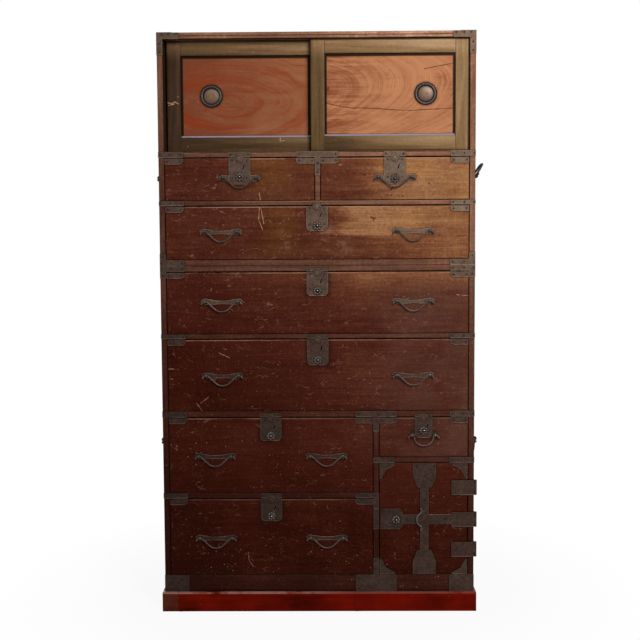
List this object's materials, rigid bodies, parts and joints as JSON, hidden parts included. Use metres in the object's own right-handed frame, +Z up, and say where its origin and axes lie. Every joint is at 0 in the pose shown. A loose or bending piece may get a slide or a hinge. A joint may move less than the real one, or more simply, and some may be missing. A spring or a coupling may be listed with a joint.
{
  "type": "isho clothing chest",
  "caption": "Stacked clothing chest on a plinth: drawers with drop handles and push-button locks, sliding doors, hinged strong cupboard and carrying handles.",
  "frame": {"origin": "on the floor, at the centre of the plinth's underside", "axes": "+X to the right seen from the front, the front faces -Y, +Z up"},
  "size_m": [1.034, 0.4429, 1.7589],
  "materials": {
    "case_lacquer": "worn dark red-brown lacquer, satin",
    "front_lacquer": "worn dark red-brown lacquer over visible grain, satin",
    "back_wood": "unfinished aged softwood, matt",
    "plinth_lacquer": "dark red lacquer, gloss",
    "door_frame_lacquer": "brown-gold translucent lacquer, satin",
    "keyaki_panel": "figured reddish elm board, oiled",
    "wrought_iron": "forged and blackened iron, pitted, matt",
    "button_iron": "blackened iron, rubbed bright on the dome",
    "pull_bronze": "aged bronze, dark in the groove"
  },
  "bodies": {
    "case": {"plinth": "plinth_lacquer", "lower_case_boards": "case_lacquer", "lower_case_shelves": "case_lacquer", "lower_case_back": "back_wood", "lower_case_irons": "wrought_iron", "upper_case_boards": "case_lacquer", "upper_case_shelves": "case_lacquer", "upper_case_back": "back_wood", "upper_case_irons": "wrought_iron"},
    "half_drawer_left": {"half_drawer_left_boards": "front_lacquer", "half_drawer_left_irons": "wrought_iron"},
    "half_drawer_left_bail_centre": {"half_drawer_left_bail_centre": "wrought_iron"},
    "half_drawer_left_button": {"half_drawer_left_button": "button_iron"},
    "half_drawer_right": {"half_drawer_right_boards": "front_lacquer", "half_drawer_right_irons": "wrought_iron"},
    "half_drawer_right_bail_centre": {"half_drawer_right_bail_centre": "wrought_iron"},
    "half_drawer_right_button": {"half_drawer_right_button": "button_iron"},
    "wide_drawer_1": {"wide_drawer_1_boards": "front_lacquer", "wide_drawer_1_irons": "wrought_iron"},
    "wide_drawer_1_bail_left": {"wide_drawer_1_bail_left": "wrought_iron"},
    "wide_drawer_1_bail_right": {"wide_drawer_1_bail_right": "wrought_iron"},
    "wide_drawer_1_button": {"wide_drawer_1_button": "button_iron"},
    "wide_drawer_2": {"wide_drawer_2_boards": "front_lacquer", "wide_drawer_2_irons": "wrought_iron"},
    "wide_drawer_2_bail_left": {"wide_drawer_2_bail_left": "wrought_iron"},
    "wide_drawer_2_bail_right": {"wide_drawer_2_bail_right": "wrought_iron"},
    "wide_drawer_2_button": {"wide_drawer_2_button": "button_iron"},
    "wide_drawer_3": {"wide_drawer_3_boards": "front_lacquer", "wide_drawer_3_irons": "wrought_iron"},
    "wide_drawer_3_bail_left": {"wide_drawer_3_bail_left": "wrought_iron"},
    "wide_drawer_3_bail_right": {"wide_drawer_3_bail_right": "wrought_iron"},
    "wide_drawer_3_button": {"wide_drawer_3_button": "button_iron"},
    "left_drawer_upper": {"left_drawer_upper_boards": "front_lacquer", "left_drawer_upper_irons": "wrought_iron"},
    "left_drawer_upper_bail_left": {"left_drawer_upper_bail_left": "wrought_iron"},
    "left_drawer_upper_bail_right": {"left_drawer_upper_bail_right": "wrought_iron"},
    "left_drawer_upper_button": {"left_drawer_upper_button": "button_iron"},
    "left_drawer_lower": {"left_drawer_lower_boards": "front_lacquer", "left_drawer_lower_irons": "wrought_iron"},
    "left_drawer_lower_bail_left": {"left_drawer_lower_bail_left": "wrought_iron"},
    "left_drawer_lower_bail_right": {"left_drawer_lower_bail_right": "wrought_iron"},
    "left_drawer_lower_button": {"left_drawer_lower_button": "button_iron"},
    "small_drawer": {"small_drawer_boards": "front_lacquer", "small_drawer_irons": "wrought_iron"},
    "small_drawer_bail_centre": {"small_drawer_bail_centre": "wrought_iron"},
    "small_drawer_button": {"small_drawer_button": "button_iron"},
    "left_door": {"left_door_frame": "door_frame_lacquer", "left_door_panel": "keyaki_panel", "left_door_pull": "pull_bronze"},
    "right_door": {"right_door_frame": "door_frame_lacquer", "right_door_panel": "keyaki_panel", "right_door_pull": "pull_bronze"},
    "safe_door": {"safe_door_board": "front_lacquer", "safe_door_irons": "wrought_iron"},
    "safe_door_ring": {"safe_door_ring": "wrought_iron"},
    "safe_door_button": {"safe_door_button": "button_iron"},
    "lower_left_carrying_bail": {"lower_left_carrying_bail": "wrought_iron"},
    "upper_left_carrying_bail": {"upper_left_carrying_bail": "wrought_iron"},
    "lower_right_carrying_bail": {"lower_right_carrying_bail": "wrought_iron"},
    "upper_right_carrying_bail": {"upper_right_carrying_bail": "wrought_iron"}
  },
  "joints": [
    {"name": "half_drawer_left_slide", "type": "slide", "parent": "case", "child": "half_drawer_left", "axis": [0, -1, 0], "range_m": [0, 0.33]},
    {"name": "half_drawer_left_bail_centre_pivot", "type": "hinge", "parent": "half_drawer_left", "child": "half_drawer_left_bail_centre", "pos_m": [-0.2316, -0.2185, 1.328], "axis": [-1, 0, 0], "range_deg": [0, 150]},
    {"name": "half_drawer_left_button_press", "type": "slide", "parent": "half_drawer_left", "child": "half_drawer_left_button", "axis": [0, 1, 0], "range_m": [0, 0.003], "stiffness_N_per_m": 300},
    {"name": "half_drawer_right_slide", "type": "slide", "parent": "case", "child": "half_drawer_right", "axis": [0, -1, 0], "range_m": [0, 0.33]},
    {"name": "half_drawer_right_bail_centre_pivot", "type": "hinge", "parent": "half_drawer_right", "child": "half_drawer_right_bail_centre", "pos_m": [0.2339, -0.2185, 1.328], "axis": [-1, 0, 0], "range_deg": [0, 150]},
    {"name": "half_drawer_right_button_press", "type": "slide", "parent": "half_drawer_right", "child": "half_drawer_right_button", "axis": [0, 1, 0], "range_m": [0, 0.003], "stiffness_N_per_m": 300},
    {"name": "wide_drawer_1_slide", "type": "slide", "parent": "case", "child": "wide_drawer_1", "axis": [0, -1, 0], "range_m": [0, 0.33]},
    {"name": "wide_drawer_1_bail_left_pivot", "type": "hinge", "parent": "wide_drawer_1", "child": "wide_drawer_1_bail_left", "pos_m": [-0.2896, -0.2185, 1.16758], "axis": [-1, 0, 0], "range_deg": [0, 150]},
    {"name": "wide_drawer_1_bail_right_pivot", "type": "hinge", "parent": "wide_drawer_1", "child": "wide_drawer_1_bail_right", "pos_m": [0.2896, -0.2185, 1.16758], "axis": [-1, 0, 0], "range_deg": [0, 150]},
    {"name": "wide_drawer_1_button_press", "type": "slide", "parent": "wide_drawer_1", "child": "wide_drawer_1_button", "axis": [0, 1, 0], "range_m": [0, 0.003], "stiffness_N_per_m": 300},
    {"name": "wide_drawer_2_slide", "type": "slide", "parent": "case", "child": "wide_drawer_2", "axis": [0, -1, 0], "range_m": [0, 0.33]},
    {"name": "wide_drawer_2_bail_left_pivot", "type": "hinge", "parent": "wide_drawer_2", "child": "wide_drawer_2_bail_left", "pos_m": [-0.2896, -0.2185, 0.95656], "axis": [-1, 0, 0], "range_deg": [0, 150]},
    {"name": "wide_drawer_2_bail_right_pivot", "type": "hinge", "parent": "wide_drawer_2", "child": "wide_drawer_2_bail_right", "pos_m": [0.2896, -0.2185, 0.95656], "axis": [-1, 0, 0], "range_deg": [0, 150]},
    {"name": "wide_drawer_2_button_press", "type": "slide", "parent": "wide_drawer_2", "child": "wide_drawer_2_button", "axis": [0, 1, 0], "range_m": [0, 0.003], "stiffness_N_per_m": 300},
    {"name": "wide_drawer_3_slide", "type": "slide", "parent": "case", "child": "wide_drawer_3", "axis": [0, -1, 0], "range_m": [0, 0.33]},
    {"name": "wide_drawer_3_bail_left_pivot", "type": "hinge", "parent": "wide_drawer_3", "child": "wide_drawer_3_bail_left", "pos_m": [-0.2896, -0.2185, 0.73156], "axis": [-1, 0, 0], "range_deg": [0, 150]},
    {"name": "wide_drawer_3_bail_right_pivot", "type": "hinge", "parent": "wide_drawer_3", "child": "wide_drawer_3_bail_right", "pos_m": [0.2896, -0.2185, 0.73156], "axis": [-1, 0, 0], "range_deg": [0, 150]},
    {"name": "wide_drawer_3_button_press", "type": "slide", "parent": "wide_drawer_3", "child": "wide_drawer_3_button", "axis": [0, 1, 0], "range_m": [0, 0.003], "stiffness_N_per_m": 300},
    {"name": "left_drawer_upper_slide", "type": "slide", "parent": "case", "child": "left_drawer_upper", "axis": [0, -1, 0], "range_m": [0, 0.33]},
    {"name": "left_drawer_upper_bail_left_pivot", "type": "hinge", "parent": "left_drawer_upper", "child": "left_drawer_upper_bail_left", "pos_m": [-0.31501, -0.2185, 0.4835], "axis": [-1, 0, 0], "range_deg": [0, 150]},
    {"name": "left_drawer_upper_bail_right_pivot", "type": "hinge", "parent": "left_drawer_upper", "child": "left_drawer_upper_bail_right", "pos_m": [0.02551, -0.2185, 0.4835], "axis": [-1, 0, 0], "range_deg": [0, 150]},
    {"name": "left_drawer_upper_button_press", "type": "slide", "parent": "left_drawer_upper", "child": "left_drawer_upper_button", "axis": [0, 1, 0], "range_m": [0, 0.003], "stiffness_N_per_m": 300},
    {"name": "left_drawer_lower_slide", "type": "slide", "parent": "case", "child": "left_drawer_lower", "axis": [0, -1, 0], "range_m": [0, 0.33]},
    {"name": "left_drawer_lower_bail_left_pivot", "type": "hinge", "parent": "left_drawer_lower", "child": "left_drawer_lower_bail_left", "pos_m": [-0.31501, -0.2185, 0.2295], "axis": [-1, 0, 0], "range_deg": [0, 150]},
    {"name": "left_drawer_lower_bail_right_pivot", "type": "hinge", "parent": "left_drawer_lower", "child": "left_drawer_lower_bail_right", "pos_m": [0.02551, -0.2185, 0.2295], "axis": [-1, 0, 0], "range_deg": [0, 150]},
    {"name": "left_drawer_lower_button_press", "type": "slide", "parent": "left_drawer_lower", "child": "left_drawer_lower_button", "axis": [0, 1, 0], "range_m": [0, 0.003], "stiffness_N_per_m": 300},
    {"name": "small_drawer_slide", "type": "slide", "parent": "case", "child": "small_drawer", "axis": [0, -1, 0], "range_m": [0, 0.33]},
    {"name": "small_drawer_bail_centre_pivot", "type": "hinge", "parent": "small_drawer", "child": "small_drawer_bail_centre", "pos_m": [0.32125, -0.2185, 0.5466], "axis": [-1, 0, 0], "range_deg": [0, 150]},
    {"name": "small_drawer_button_press", "type": "slide", "parent": "small_drawer", "child": "small_drawer_button", "axis": [0, 1, 0], "range_m": [0, 0.003], "stiffness_N_per_m": 300},
    {"name": "left_door_slide", "type": "slide", "parent": "case", "child": "left_door", "axis": [1, 0, 0], "range_m": [-0.0064, 0.43495]},
    {"name": "right_door_slide", "type": "slide", "parent": "case", "child": "right_door", "axis": [-1, 0, 0], "range_m": [0, 0.44085]},
    {"name": "safe_door_hinge", "type": "hinge", "parent": "case", "child": "safe_door", "pos_m": [0.4798, -0.2073, 0.28547], "axis": [0, 0, 1], "range_deg": [0, 170]},
    {"name": "safe_door_ring_pivot", "type": "hinge", "parent": "safe_door", "child": "safe_door_ring", "pos_m": [0.31494, -0.217, 0.28547], "axis": [0, 0, 1], "range_deg": [0, 150]},
    {"name": "safe_door_button_press", "type": "slide", "parent": "safe_door", "child": "safe_door_button", "axis": [0, 1, 0], "range_m": [0, 0.003], "stiffness_N_per_m": 300},
    {"name": "lower_left_carrying_bail_pivot", "type": "hinge", "parent": "case", "child": "lower_left_carrying_bail", "pos_m": [-0.499, 0.005, 0.506], "axis": [0, 1, 0], "range_deg": [0, 170]},
    {"name": "upper_left_carrying_bail_pivot", "type": "hinge", "parent": "case", "child": "upper_left_carrying_bail", "pos_m": [-0.499, 0.005, 1.34], "axis": [0, 1, 0], "range_deg": [0, 170]},
    {"name": "lower_right_carrying_bail_pivot", "type": "hinge", "parent": "case", "child": "lower_right_carrying_bail", "pos_m": [0.499, 0.005, 0.506], "axis": [0, -1, 0], "range_deg": [0, 170]},
    {"name": "upper_right_carrying_bail_pivot", "type": "hinge", "parent": "case", "child": "upper_right_carrying_bail", "pos_m": [0.499, 0.005, 1.34], "axis": [0, -1, 0], "range_deg": [-148, 22]}
  ]
}
